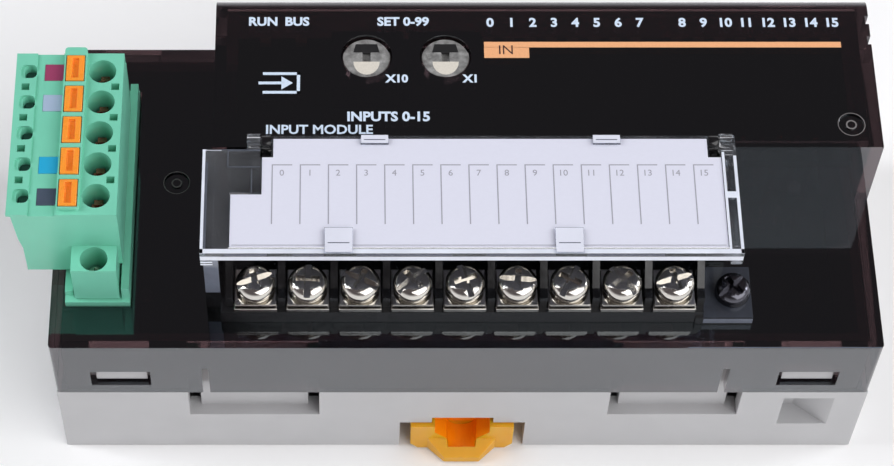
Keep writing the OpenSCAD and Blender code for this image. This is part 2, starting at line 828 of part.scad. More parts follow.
module lower_terminal_plates() {
    color("silver") each_terminal(low_x0, low_y, low_z) terminal_plate();
}

module upper_terminal_plates() {
    color("silver") each_terminal(high_x0, high_y, high_z) terminal_plate();
}

module square_washer() {
    difference() {
        block([-washer_side / 2, -washer_side / 2, 0], [washer_side / 2, washer_side / 2, washer_t]);
        translate([0, 0, -1]) cylinder(d = screw_d + 0.2, h = 3);
    }
}

module washer_row(x0, y, z) {
    color("silver") each_terminal(x0, y, z + plate_t + lift_gap) square_washer();
}

module lower_washers() {
    washer_row(low_x0, low_y, low_z);
}

module upper_washers() {
    washer_row(high_x0, high_y, high_z);
}

// A split spring washer
module spring_washer() {
    difference() {
        cylinder(d = head_d - 0.7, h = spring_washer_t - 2 * eps);
        translate([0, 0, -1]) cylinder(d = screw_d + 0.2, h = 3);
        rotate(30) block([1, -0.2, -1], [4, 0.2, 3]);
    }
}

module spring_washer_row(x0, y, z) {
    color("gray") each_terminal(x0, y, z + plate_t + lift_gap + washer_t + eps) spring_washer();
}

module lower_spring_washers() {
    spring_washer_row(low_x0, low_y, low_z);
}

module upper_spring_washers() {
    spring_washer_row(high_x0, high_y, high_z);
}

module screw_row(x0, y, z) {
    head_z = z + plate_t + lift_gap + washer_t + spring_washer_t;
    color("silver") for (i = [0 : terminals - 1]) {
        translate([x0 + i * terminal_pitch, y, head_z])
            screw(screw_d, shank_l, head_d, head_h, screw_turn(i));
    }
}

module lower_terminal_screws() {
    screw_row(low_x0, low_y, low_z);
}

module upper_terminal_screws() {
    screw_row(high_x0, high_y, high_z);
}

module fixing_screw(i, turn) {
    color("dimgray") translate([fix_x[i], fix_y[i], fix_seat[i] + eps]) {
        screw(fix_d, fix_seat[i] - deck_z + 3.5, fix_head_d, 2.2, turn);
    }
}

module fixing_screw_left() {
    fixing_screw(0, 15);
}

module fixing_screw_right() {
    fixing_screw(1, 40);
}

// ---- Terminal cover ----

// Outline of the label, with its stepped left end and two hinge corners cut off
module card_outline(gap) {
    step_y = card_front + 8.3;
    corner_y = hinge_y - notch_depth + 0.2;
    x1 = post_x[0] + 0.1;
    x2 = post_x[0] + post_t + 0.4;
    x3 = post_x[1] - 0.4;
    polygon([
        [card_left - gap, card_front - gap], [card_right + gap, card_front - gap],
        [card_right + gap, corner_y + gap], [x3 + gap, corner_y + gap], [x3 + gap, hinge_y + gap],
        [x2 - gap, hinge_y + gap], [x2 - gap, corner_y + gap], [x1 - gap, corner_y + gap],
        [x1 - gap, step_y + gap], [card_left - gap, step_y + gap]
    ]);
}

// A clip that holds the card down
module clip(x, y0, y1) {
    block([x - clip_w / 2, y0, card_top + 0.05], [x + clip_w / 2, y1, card_top + 0.05 + clip_t]);
}

module terminal_cover() {
    gap = 0.1;
    back_left = hinge_y - 1.85;
    back_main = hinge_y + 0.35;
    knuckles = [post_x[0] - 0.2 - knuckle_w, post_x[1] + post_t + 0.2];
    color([0.75, 0.85, 0.95, 0.5]) difference() {
        union() {
            // Plate
            block([lid_left, lid_front, lid_bottom], [lid_right, back_left, lid_z]);
            block([post_x[0] - knuckle_w, lid_front, lid_bottom], [lid_right, back_main, lid_z]);
            // Skirts at both ends, and the front lip
            block([lid_left, lid_front, lid_bottom - 1.7], [lid_left + 1.6, back_left, lid_z]);
            block([lid_right - 1.5, lid_front, lid_bottom - 1.4], [lid_right, back_left - 1, lid_z]);
            block([lid_left, lid_front, lid_z - 1.8], [lid_right, lid_front + 0.8, lid_z]);
            // Hinge knuckles
            for (x = knuckles) rod_x(x, x + knuckle_w, hinge_y, hinge_z, knuckle_r);
        }
        // Pocket for the card
        translate([0, 0, card_floor]) linear_extrude(3) card_outline(0.15);
        // Notches around the hinge posts
        for (x = post_x) {
            block([x - 0.2, hinge_y - notch_depth, lid_bottom - 2], [x + post_t + 0.2, rear, lid_z + 1]);
        }
        // Room behind the knuckles
        block([lid_left - 1, hinge_y, lid_bottom - 2], [knuckles[0], rear, lid_z + 1]);
        for (x = knuckles) rod_x(x - 1, x + knuckle_w + 1, hinge_y, hinge_z, pin_r + bore_gap);
        // Grooves in the right frame, with a bar left between them
        groove_y = (lid_front + back_left) / 2 + 1;
        block([lid_right - 1.5, lid_front + 1.2, lid_z - 0.5], [lid_right - 0.5, groove_y - 0.5, lid_z + 1]);
        block([lid_right - 1.5, groove_y + 0.5, lid_z - 0.5], [lid_right - 0.5, back_left - 0.6, lid_z + 1]);
    }
    color([0.75, 0.85, 0.95, 0.5]) {
        for (x = rear_clip_x) clip(x, hinge_y - 1, hinge_y + 0.35);
        for (x = front_clip_x) clip(x, lid_front, card_front + 2.8);
    }
}

module label_card() {
    color("lavender") translate([0, 0, card_top - card_t]) linear_extrude(card_t) card_outline(0);
}

// ---- Connector header ----

module header_shroud() {
    color([0.3, 0.7, 0.55]) difference() {
        union() {
            block([header_x0, header_y0, main_top + eps], [header_x1, header_y1, ear_top]);
            block([header_x0, header_y0 + 1.2, ear_top - eps],
                [header_x0 + header_wall, header_y1 - 1.2, left_shroud_z]);
            block([header_x1 - header_wall, header_y0 + 0.6, ear_top - eps],
                [header_x1, header_y1 - 0.6, right_shroud_z]);
        }
        block([header_x0 + header_wall, plug_y0 - plug_gap, shroud_floor],
              [header_x1 - header_wall, plug_y1 + plug_gap, deck_z + 10]);
        block([header_x0 - 1, plug_y0 - plug_gap, shroud_floor - 4],
            [header_x0 - eps, plug_y1 + plug_gap, deck_z]);
        each_pole(contact_x, main_top - 1) block([-0.55, -0.55, 0], [0.55, 0.55, 20]);
        for (y = flange_y) translate([flange_x, y, deck_z - 6])
            cylinder(d = flange_screw_d + 2 * bore_gap, h = 10);
    }
}

module header_pins() {
    color("silver") each_pole(contact_x, main_z - 0.8) {
        block([-pin_side / 2, -pin_side / 2, 0], [pin_side / 2, pin_side / 2, shroud_floor + 6 - main_z]);
    }
}

// ---- Connector plug ----

// Section of the plug across its row of poles
module plug_section() {
    polygon([
        [plug_x0, plug_z], [plug_x0, plug_z - 0.4], [plug_x0 + 0.6, plug_z - 0.5],
        [plug_x0 + 0.8, plug_z - 3.2],
        [plug_x0 + 1.05, plug_z - 6.2], [plug_x0 + 1.5, plug_z - 8.6], [plug_x0 + 1.55, plug_bottom],
        [insert_x0, plug_bottom], [insert_x0, insert_z], [insert_x1, insert_z],
        [insert_x1, right_shroud_z + 0.4], [plug_x1, right_shroud_z + 0.4], [plug_x1, plug_z]
    ]);
}

// The raised strip that the release levers stand in
module lever_strip() {
    w = release_w + 0.6;
    translate([0, 0, plug_z - 1]) linear_extrude(strip_top - plug_z + 1) {
        round_rect([release_x - w / 2, plug_y0 + 0.6], [release_x + w / 2, plug_y1 + 0.5], 0.5);
    }
}

module plug_body() {
    well = [2.2, 2.2];
    well_depth = 3.6;
    well_wall = 0.7;
    small_well = 1.1;
    small_depth = 1.5;
    step_x = plug_x0 + well_wall + well[0];
    color([0.5, 0.83, 0.7]) difference() {
        union() {
            along_y(plug_y0, plug_y1) plug_section();
            lever_strip();
            block([insert_x0, plug_y0 - flange_len + near, ear_top + fit],
                  [insert_x1, plug_y0 + eps, flange_top]);
            block([insert_x0, plug_y1 - eps, ear_top + fit],
                  [insert_x1, plug_y1 + flange_len - near, flange_top]);
        }
        for (i = [0 : poles - 1]) translate([0, pole_y(i), 0]) {
            // Wire entry, chamber and lever slot
            translate([wire_x, 0, chamber_z1 - 1]) cylinder(d = wire_d, h = 10);
            block([release_x - 1.4, -chamber_half, chamber_z0], [wire_x + 1.5, chamber_half, chamber_z1]);
            block([release_x - release_w / 2 - 0.1, -release_len / 2 - 0.1, chamber_z1 - 1],
                  [release_x + release_w / 2 + 0.1, release_len / 2 + 0.1, strip_top + 1]);
            // Test well, with a wider mouth
            translate([plug_x0 + well_wall, 0, plug_z - 0.35]) linear_extrude(1) {
                round_rect([0, -well[1] / 2], [well[0], well[1] / 2], 0.7);
            }
            translate([plug_x0 + well_wall, 0, plug_z - well_depth]) linear_extrude(well_depth) {
                round_rect([0.5, -well[1] / 2], [well[0], well[1] / 2], 0.7);
            }
            // Contact cell, open below
            block([contact_x - 1.4, -1.4, insert_z - 1], [contact_x + 1.4, 1.4, chamber_z0 + eps]);
        }
        // Small wells between the poles
        for (i = [0 : poles - 2]) translate([0, pole_y(i) + pole_pitch / 2, plug_z - small_depth]) {
            for (x = [plug_x0 + 0.9, plug_x1 - 0.5 - small_well]) {
                block([x, -small_well / 2, 0], [x + small_well, small_well / 2, small_depth + 1]);
            }
        }
        // Shallow step right of the ridge
        block([step_x, plug_y0 - 1, plug_z - 0.3],
            [release_x - release_w / 2 - 0.5, plug_y1 + 1, plug_z + 0.01]);
        for (i = [0, 1, 3, 4]) translate([0, pole_y(i), 0]) marker_seat();
        // Flange screws
        for (y = flange_y) translate([flange_x, y, 0]) {
            translate([0, 0, ear_top - 1]) cylinder(d = flange_screw_d + 2 * bore_gap, h = 20);
            translate([0, 0, flange_seat]) cylinder(d = wire_d, h = 10);
        }
    }
}

module marker_seat() {
    half = marker_side / 2;
    block([tile_x - half, -half, plug_z - marker_depth_z], [tile_x + half, half, plug_z + 1]);
}

// A coloured tile inlaid beside pole i
module marker(i) {
    half = marker_side / 2 - 0.03;
    translate([tile_x, pole_y(i), 0]) {
        block([-half, -half, plug_z - marker_depth_z + eps], [half, half, plug_z - 0.22]);
    }
}

module marker_red() {
    color("mediumvioletred") marker(4);
}

module marker_white() {
    color("lightsteelblue") marker(3);
}

module marker_blue() {
    color("deepskyblue") marker(1);
}

module marker_black() {
    color("darkslategray") marker(0);
}

module plug_contacts() {
    color("goldenrod") each_pole(contact_x, 0) difference() {
        block([-1.3, -1.3, insert_z + 0.4], [1.3, 1.3, chamber_z0 + 0.6]);
        block([-0.7, -0.7, insert_z - 1], [0.7, 0.7, chamber_z0]);
    }
}

// A bent leaf spring in each chamber
module clamp_springs() {
    color("silver") for (i = [0 : poles - 1]) {
        along_y(pole_y(i) - 1.5, pole_y(i) + 1.5) polygon([
            [wire_x + 1.3, chamber_z0 + 0.7], [wire_x + 1.3, spring_top],
            [wire_x + 1, spring_top],
            [wire_x + 1, chamber_z0 + 1.1], [wire_x - 1.2, chamber_z0 + 1.1], [release_x + 0.6, spring_tip_z],
            [release_x + 0.4, spring_tip_z - 0.2], [wire_x - 1.4, chamber_z0 + 0.7]
        ]);
    }
}

module plug_screws() {
    color("silver") for (y = flange_y) translate([flange_x, y, flange_seat + eps]) {
        screw(flange_screw_d, flange_seat - deck_z + 4, flange_head_d, 1.8, 0);
    }
}

// A release lever, numbered from the front
module release_lever(i) {
    y = pole_y(i);
    x0 = release_x - release_w / 2;
    x1 = release_x + release_w / 2;
    top = strip_top + 0.15;
    color("orange") difference() {
        union() {
            block([x0, y - release_len / 2, strip_top - lever_head], [x1, y + release_len / 2, top]);
            block([x0 + 0.3, y - 1.6, lever_bottom], [x1 - 0.3, y + 1.6, strip_top - lever_head + 1]);
        }
        // Groove for a screwdriver's tip
        block([release_x - 0.45, y - release_len / 2 + 0.5, top - 0.6],
            [release_x + 0.45, y + release_len / 2 - 0.4, top + 1]);
    }
}

module release_lever_1() {
    release_lever(0);
}

module release_lever_2() {
    release_lever(1);
}

module release_lever_3() {
    release_lever(2);
}

module release_lever_4() {
    release_lever(3);
}

module release_lever_5() {
    release_lever(4);
}

base_case();
front_cover();
main_board();
display_board();
board_link_pins();
controller_chip();
network_chip();
photocouplers();
filter_capacitors();
status_lamps();
input_lamps();
switch_body_x10();
switch_body_x1();
block_socket();
header_shroud();
header_pins();
rail_lock();
address_dial_x10();
address_dial_x1();
block_body();
block_contacts();
lower_terminal_plates();
upper_terminal_plates();
lower_washers();
upper_washers();
lower_spring_washers();
upper_spring_washers();
lower_terminal_screws();
upper_terminal_screws();
fixing_screw_left();
fixing_screw_right();
terminal_cover();
label_card();
plug_body();
plug_contacts();
clamp_springs();
plug_screws();
marker_red();
marker_white();
marker_blue();
marker_black();
release_lever_1();
release_lever_2();
release_lever_3();
release_lever_4();
release_lever_5();
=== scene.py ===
import json
import math

import bmesh
import bpy
from mathutils import Matrix, Vector


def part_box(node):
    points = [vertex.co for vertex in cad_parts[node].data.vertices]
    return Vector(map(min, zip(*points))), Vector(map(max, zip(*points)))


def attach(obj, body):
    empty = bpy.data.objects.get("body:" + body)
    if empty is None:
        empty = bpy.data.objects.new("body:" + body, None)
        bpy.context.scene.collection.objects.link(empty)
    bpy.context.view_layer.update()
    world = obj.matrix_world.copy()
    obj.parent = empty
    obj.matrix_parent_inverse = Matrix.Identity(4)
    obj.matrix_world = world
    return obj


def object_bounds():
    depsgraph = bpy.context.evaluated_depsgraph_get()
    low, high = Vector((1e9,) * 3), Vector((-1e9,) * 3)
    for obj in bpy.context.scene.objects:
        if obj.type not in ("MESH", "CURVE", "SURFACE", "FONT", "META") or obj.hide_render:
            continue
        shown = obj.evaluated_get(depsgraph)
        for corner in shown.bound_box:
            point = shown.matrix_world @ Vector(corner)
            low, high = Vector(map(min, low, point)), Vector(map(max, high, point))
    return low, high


# The CAD frame has X along the rail, Y to the rear and Z away from the rail. Sizes and places of pieces
# are in millimetres, and those of the floor, the lights and the camera are in metres.

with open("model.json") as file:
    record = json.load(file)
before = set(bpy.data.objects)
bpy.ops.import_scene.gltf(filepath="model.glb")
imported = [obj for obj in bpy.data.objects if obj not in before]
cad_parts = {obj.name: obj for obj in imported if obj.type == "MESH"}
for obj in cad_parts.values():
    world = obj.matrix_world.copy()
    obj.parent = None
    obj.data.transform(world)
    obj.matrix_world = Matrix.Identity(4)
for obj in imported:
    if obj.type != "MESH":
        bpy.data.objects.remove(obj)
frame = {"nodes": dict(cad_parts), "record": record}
cad_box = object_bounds()
nodes = frame["nodes"]

MM = 0.001


def mm(*values):
    """Millimetres to a vector in metres."""
    return Vector([v * MM for v in values])


def box_mm(node):
    """Lowest and highest corner of a CAD node, in millimetres."""
    low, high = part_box(node)
    return [v / MM for v in low], [v / MM for v in high]


# ---------------------------------------------------------------- materials


class Shader:
    """A node material with short helpers; patterns are in the row frame, in millimetres."""

    def __init__(self, name):
        self.mat = bpy.data.materials.new(name)
        self.mat.use_nodes = True
        self.nt = self.mat.node_tree
        self.nt.nodes.clear()
        self.out = self.node("ShaderNodeOutputMaterial")
        self.bsdf = self.node("ShaderNodeBsdfPrincipled")
        self.link(self.bsdf.outputs[0], self.out.inputs["Surface"])
        coord = self.node("ShaderNodeTexCoord")
        scale = self.node("ShaderNodeVectorMath")
        scale.operation = "SCALE"
        scale.inputs["Scale"].default_value = 1 / MM
        self.link(coord.outputs["Object"], scale.inputs[0])
        self.place = scale.outputs[0]

    def node(self, kind):
        return self.nt.nodes.new(kind)

    def link(self, a, b):
        self.nt.links.new(a, b)

    def set(self, **values):
        for key, value in values.items():
            self.bsdf.inputs[key.replace("_", " ")].default_value = value
        return self

    def noise(self, size, detail=3.0, rough=0.5, stretch=(1, 1, 1)):
        """Noise with features of about this size in millimetres."""
        n = self.node("ShaderNodeTexNoise")
        n.inputs["Scale"].default_value = 1 / size
        n.inputs["Detail"].default_value = detail
        n.inputs["Roughness"].default_value = rough
        source = self.place
        if stretch != (1, 1, 1):
            m = self.node("ShaderNodeVectorMath")
            m.operation = "MULTIPLY"
            m.inputs[1].default_value = stretch
            self.link(source, m.inputs[0])
            source = m.outputs[0]
        self.link(source, n.inputs["Vector"])
        return n.outputs[0]

    def ramp(self, fac, stops):
        """Colours over a pattern, as (position, colour) stops."""
        r = self.node("ShaderNodeValToRGB")
        els = r.color_ramp.elements
        while len(els) < len(stops):
            els.new(0.5)
        for el, (at, colour) in zip(els, stops):
            el.position = at
            el.color = tuple(colour) + (1,)
        self.link(fac, r.inputs[0])
        return r.outputs[0]

    def range(self, fac, low, high, a=0.3, b=0.7):
        """A pattern's values a to b, stretched to run from low to high."""
        r = self.node("ShaderNodeMapRange")
        for i, v in enumerate((a, b, low, high), start=1):
            r.inputs[i].default_value = v
        self.link(fac, r.inputs[0])
        return r.outputs[0]

    def bump(self, height, strength, distance=0.05):
        b = self.node("ShaderNodeBump")
        b.inputs["Strength"].default_value = strength
        b.inputs["Distance"].default_value = distance * MM
        self.link(height, b.inputs["Height"])
        self.link(b.outputs[0], self.bsdf.inputs["Normal"])
        return self

    def colour(self, socket):
        self.link(socket, self.bsdf.inputs["Base Color"])
        return self

    def rough(self, socket):
        self.link(socket, self.bsdf.inputs["Roughness"])
        return self


def shade(colour, k):
    """A colour made k times as bright."""
    return tuple(min(1.0, c * k) for c in colour)


def moulded(name, colour, rough=0.4, grain=0.35, bump=0.12, spread=0.06, coat=0.0, mottle=6.0):
    """Moulded plastic: a fine eroded grain, soft flow variation and uneven gloss."""
    s = Shader(name)
    flow = s.noise(mottle, 4.0, 0.6)
    s.colour(s.ramp(flow, [(0.25, shade(colour, 1 - spread)), (0.75, shade(colour, 1 + spread))]))
    s.rough(s.range(s.noise(mottle / 4, 3.0), rough - 0.06, rough + 0.08))
    s.bump(s.noise(grain, 2.0, 0.6), bump)
    if coat:
        s.set(Coat_Weight=coat, Coat_Roughness=0.06)
    return s


def metal(name, colour, rough=0.18, grain=0.6, bump=0.1, stretch=(1, 1, 1)):
    """Plated or passivated metal with fine tool marks."""
    s = Shader(name)
    s.set(Metallic=1.0)
    s.colour(s.ramp(s.noise(2.5, 4.0, 0.6), [(0.3, shade(colour, 0.82)), (0.7, colour)]))
    s.rough(s.range(s.noise(grain, 4.0, 0.7, stretch), rough * 0.6, rough * 1.7))
    s.bump(s.noise(grain * 0.6, 3.0, 0.6, stretch), bump, 0.03)
    return s


def clear(name, tint, through, rough=0.02, ior=1.49, coat=0.0, haze=0.0):
    """See-through plastic: glass for the eye, and a tinted window for the light."""
    s = Shader(name)
    s.set(IOR=ior, Coat_Weight=coat, Coat_Roughness=0.02)
    if haze:
        clearness = s.range(s.noise(7.0, 2.0), 1.0 - haze, 1.0 - haze / 4)
        s.link(clearness, s.bsdf.inputs["Transmission Weight"])
    else:
        s.set(Transmission_Weight=1.0)
    s.colour(s.ramp(s.noise(9, 3.0), [(0.3, shade(tint, 0.94)), (0.7, tint)]))
    s.rough(s.range(s.noise(1.2, 5.0, 0.7), rough * 0.4, rough * 2))
    path = s.node("ShaderNodeLightPath")
    window = s.node("ShaderNodeBsdfTransparent")
    window.inputs["Color"].default_value = tuple(through) + (1,)
    mix = s.node("ShaderNodeMixShader")
    s.link(path.outputs["Is Shadow Ray"], mix.inputs[0])
    s.link(s.bsdf.outputs[0], mix.inputs[1])
    s.link(window.outputs[0], mix.inputs[2])
    s.link(mix.outputs[0], s.out.inputs["Surface"])
    return s


def circuit_board():
    """Solder mask over copper tracks."""
    s = Shader("circuit_board")
    tracks = s.node("ShaderNodeTexBrick")
    tracks.inputs["Scale"].default_value = 0.5
    tracks.inputs["Mortar Size"].default_value = 0.12
    tracks.inputs["Color1"].default_value = (0.012, 0.07, 0.03, 1)
    tracks.inputs["Color2"].default_value = (0.016, 0.09, 0.04, 1)
    tracks.inputs["Mortar"].default_value = (0.03, 0.15, 0.06, 1)
    s.link(s.place, tracks.inputs["Vector"])
    s.colour(tracks.outputs[0])
    s.rough(s.range(s.noise(0.8), 0.25, 0.4))
    s.bump(tracks.outputs[1], 0.2)
    return s


def print_ink(name, colour):
    """Screen-printed ink: slightly uneven cover and a satin face."""
    s = Shader(name)
    s.colour(s.ramp(s.noise(0.25, 3.0, 0.7), [(0.2, shade(colour, 0.86)), (0.6, colour)]))
    s.rough(s.range(s.noise(0.3), 0.4, 0.6))
    s.bump(s.noise(0.15), 0.15, 0.02)
    return s


def paper(name, colour):
    """Card with long fibres and a matt face."""
    s = Shader(name)
    fibres = s.noise(0.7, 6.0, 0.75, (1, 1.8, 1))
    s.colour(s.ramp(fibres, [(0.25, shade(colour, 0.965)), (0.75, colour)]))
    s.rough(s.range(fibres, 0.5, 0.65))
    s.bump(s.noise(0.3, 5.0, 0.8), 0.1, 0.02)
    return s


LOOKS = {
    "grey_plastic": moulded(
        "grey_plastic_look", (0.49, 0.49, 0.50), rough=0.42, grain=0.3, bump=0.16, spread=0.03
    ),
    "smoked_plastic": clear(
        "smoked_plastic_look",
        (0.085, 0.048, 0.052),
        through=(0.25, 0.17, 0.18),
        rough=0.03,
        ior=1.68,
        coat=0.75,
    ),
    "circuit_board": circuit_board(),
    "gold_contact": metal("gold_contact_look", (0.85, 0.58, 0.24), rough=0.2),
    "chip_black": moulded("chip_black_look", (0.018, 0.018, 0.02), rough=0.5, grain=0.2, bump=0.3),
    "chip_white": moulded("chip_white_look", (0.7, 0.68, 0.62), rough=0.5, grain=0.2, bump=0.3),
    "capacitor_can": metal(
        "capacitor_can_look", (0.8, 0.8, 0.82), rough=0.3, grain=0.8, bump=0.1, stretch=(1, 1, 12)
    ),
    "lamp_clear": moulded("lamp_look", (0.62, 0.60, 0.42), rough=0.15, grain=0.5, bump=0.05),
    "switch_grey": moulded("switch_grey_look", (0.02, 0.02, 0.022), rough=0.4, grain=0.25, bump=0.2),
    "black_plastic": moulded(
        "black_plastic_look",
        (0.008, 0.008, 0.009),
        rough=0.14,
        grain=0.5,
        bump=0.04,
        spread=0.2,
        coat=0.3,
    ),
    "green_plastic": moulded(
        "green_plastic_look", (0.19, 0.61, 0.44), rough=0.34, grain=0.25, bump=0.14, spread=0.04
    ),
    "tin_contact": metal("tin_contact_look", (0.75, 0.74, 0.72), rough=0.3),
    "yellow_plastic": moulded(
        "yellow_plastic_look", (0.72, 0.35, 0.005), rough=0.35, grain=0.4, bump=0.1, spread=0.05
    ),
    "dial_silver": moulded(
        "dial_look",
        (0.26, 0.26, 0.255),
        rough=0.2,
        grain=0.6,
        bump=0.25,
        spread=0.6,
        coat=0.4,
        mottle=1.2,
    ),
    "nickel": metal("nickel_look", (0.74, 0.71, 0.66), rough=0.12, grain=1.1, bump=0.55),
    "black_steel": metal("black_steel_look", (0.12, 0.12, 0.14), rough=0.16, grain=0.5, bump=0.1),
    "clear_plastic": clear(
        "clear_plastic_look", (0.94, 0.96, 1.0), through=(0.42, 0.44, 0.46), rough=0.015, haze=0.04
    ),
    "label_card": paper("label_card_look", (0.72, 0.73, 0.84)),
    "spring_steel": metal("spring_steel_look", (0.62, 0.50, 0.42), rough=0.25),
    "marker_red": moulded("marker_red_look", (0.33, 0.05, 0.13), rough=0.35),
    "marker_white": moulded("marker_white_look", (0.38, 0.48, 0.64), rough=0.35),
    "marker_blue": moulded("marker_blue_look", (0.02, 0.40, 0.68), rough=0.35),
    "marker_black": moulded("marker_black_look", (0.06, 0.08, 0.12), rough=0.35),
    "orange_plastic": moulded(
        "orange_plastic_look", (1.0, 0.32, 0.035), rough=0.28, grain=0.3, bump=0.1
    ),
}
LOOKS["smoked_plastic"].set(Specular_Tint=(0.74, 0.88, 1.0, 1))
LOOKS["clear_plastic"].set(Specular_Tint=(0.70, 0.85, 1.0, 1))
for look, weight, depth, spread_rgb in (
    ("yellow_plastic", 0.5, 0.002, (1.0, 0.5, 0.05)),
    ("orange_plastic", 0.25, 0.001, (1.0, 0.3, 0.05)),
):
    LOOKS[look].set(Subsurface_Weight=weight, Subsurface_Scale=depth, Subsurface_Radius=spread_rgb)
INKS = {
    "white": print_ink("ink_white", (0.68, 0.80, 0.95)),
    "salmon": print_ink("ink_salmon", (0.90, 0.45, 0.22)),
    "dark": print_ink("ink_dark", (0.05, 0.02, 0.02)),
    "grey": print_ink("ink_grey", (0.36, 0.36, 0.42)),
    # A near-black plate in each dial's slot: painted shade
    "slot": print_ink("slot_shade_look", (0.012, 0.012, 0.013)),
    "cream": print_ink("ink_cream", (0.72, 0.68, 0.60)),
}


def gloss(name, colour, rough, grain, bump, spread, coat=0.5):
    """A glossy plastic material whose colour paints a highlight, a reflection or shade on an edge or face.
    """
    return moulded(name, colour, rough, grain, bump, spread, coat)


# Looks that paint light and shade: highlights, sheen and shade lines on the clear cover and black plastic,
# shade in the wells, and a glow in the lock's hollow; COPPER is the clamps' own colour
RIM_HIGHLIGHT = gloss("lid_rim_highlight_look", (0.76, 0.80, 0.90), rough=0.12, grain=0.4, bump=0.08, spread=0.12)
SHEEN = gloss("painted_sheen_look", (0.16, 0.18, 0.23), rough=0.12, grain=0.8, bump=0.08, spread=0.25)
DARK_SHEEN = gloss("ear_sheen_look", (0.035, 0.040, 0.052), 0.08, grain=0.8, bump=0.06, spread=0.3, coat=0.6)
CLIP_HIGHLIGHT = gloss("lid_clip_highlight_look", (0.74, 0.76, 0.86), rough=0.1, grain=0.5, bump=0.06, spread=0.05)
FAINT_SHADE = gloss("lid_faint_shade_look", (0.085, 0.095, 0.12), rough=0.15, grain=0.6, bump=0.08, spread=0.35)
GATE_HIGHLIGHT = gloss("gate_rim_highlight_look", (0.17, 0.16, 0.16), rough=0.15, grain=0.8, bump=0.08, spread=0.35)
HOLLOW_GLOW = moulded("lock_hollow_glow_look", (0.95, 0.27, 0.001), rough=0.35, grain=0.4, bump=0.1, spread=0.05)
SHADE = moulded("lid_shade_look", (0.10, 0.11, 0.15), rough=0.2, grain=0.4, bump=0.08, spread=0.2)
WELL_SHADE = moulded("well_shade_look", (0.012, 0.06, 0.045), rough=0.4, grain=0.3, bump=0.2)
COPPER = metal("clamp_copper_look", (0.45, 0.17, 0.12), rough=0.3)

slots = {s["node"]: s["material_slot"] for s in frame["record"]["subparts"]}
LEVERS = range(1, 6)
DIALS = ("x10", "x1")
SMALL_BEVEL = 0.06
BEVELS = {
    "base_case": 0.18,
    "front_cover": 0.28,
    "terminal_cover": 0.16,
    "block_body": 0.12,
    "plug_body": 0.14,
    "header_shroud": 0.12,
    "rail_lock": 0.25,
    "fixing_screw_left": 0.07,
    "fixing_screw_right": 0.07,
    "plug_screws": 0.05,
    "label_card": 0.03,
}
for terminal_row in ("lower", "upper"):
    BEVELS[f"{terminal_row}_terminal_screws"] = 0.07
    BEVELS[f"{terminal_row}_washers"] = 0.08
    BEVELS[f"{terminal_row}_terminal_plates"] = 0.1
BEVELS.update({f"address_dial_{dial}": 0.1 for dial in DIALS})
BEVELS.update({f"release_lever_{lever}": 0.14 for lever in LEVERS})
WELD_GAP, FLAT_ANGLE, SHARP_ANGLE = 0.002, 0.5, 32


def finish_node(name, obj):
    """A procedural material, and small rounded edges with clean shading."""
    look = LOOKS[slots[name]].mat
    for s in obj.material_slots:
        s.material = look
    weld = obj.modifiers.new("weld", "WELD")
    weld.merge_threshold = WELD_GAP * MM
    flat = obj.modifiers.new("flat", "DECIMATE")
    flat.decimate_type = "DISSOLVE"
    flat.angle_limit = math.radians(FLAT_ANGLE)
    bevel = obj.modifiers.new("bevel", "BEVEL")
    bevel.width = BEVELS.get(name, SMALL_BEVEL) * MM
    bevel.segments = 2
    bevel.limit_method = "ANGLE"
    bevel.angle_limit = math.radians(SHARP_ANGLE)
    bevel.use_clamp_overlap = True
    normals = obj.modifiers.new("normals", "WEIGHTED_NORMAL")
    normals.keep_sharp = False
    normals.weight = 100


for name, obj in nodes.items():
    finish_node(name, obj)

# ---------------------------------------------------------------- visual detail

INK = 0.02
CAPITAL = 0.70  # height of a capital letter over the size of its font


def add_mesh(name, bm, material, body):
    """A piece made from a finished bmesh, riding on a body."""
    mesh = bpy.data.meshes.new(name)
    bm.to_mesh(mesh)
    bm.free()
    obj = bpy.data.objects.new(name, mesh)
    bpy.context.scene.collection.objects.link(obj)
    obj.data.materials.append(material)
    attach(obj, body)


def slab(bm, low, high):
    """A box between two corners."""
    size = [b - a for a, b in zip(low, high)]
    mid = [(a + b) / 2 for a, b in zip(low, high)]
    place = Matrix.Translation(mm(*mid)) @ Matrix.Diagonal((*mm(*size), 1))
    bmesh.ops.create_cube(bm, size=1, matrix=place)


def plates(name, parts, material, body):
    """Several slabs (low, high) in one mesh, with their edges softened."""
    bm = bmesh.new()
    for low, high in parts:
        slab(bm, low, high)
    thin = min(b - a for low, high in parts for a, b in zip(low, high))
    bmesh.ops.bevel(bm, geom=bm.edges[:], offset=0.2 * thin * MM, segments=1, affect="EDGES")
    add_mesh(name, bm, material, body)


def prism(bm, outline, z0, z1):
    """A flat shape given by its outline, from height z0 to z1."""
    face = bm.faces.new([bm.verts.new(mm(x, y, z0)) for x, y in outline])
    top = bmesh.ops.extrude_face_region(bm, geom=[face])
    moved = [v for v in top["geom"] if isinstance(v, bmesh.types.BMVert)]
    bmesh.ops.translate(bm, verts=moved, vec=mm(0, 0, z1 - z0))
    bmesh.ops.recalc_face_normals(bm, faces=bm.faces[:])


def ring(bm, x, y, inner, outer, z0, z1, steps=40):
    """A flat ring with square edges, from height z0 to z1."""
    turns = [math.tau * i / steps for i in range(steps)]
    loops = []
    for r, z in ((inner, z0), (outer, z0), (outer, z1), (inner, z1)):
        loops.append([bm.verts.new(mm(x + r * math.cos(t), y + r * math.sin(t), z)) for t in turns])
    for a, b in zip(loops, loops[1:] + loops[:1]):
        for i in range(steps):
            j = (i + 1) % steps
            bm.faces.new((a[i], a[j], b[j], b[i]))


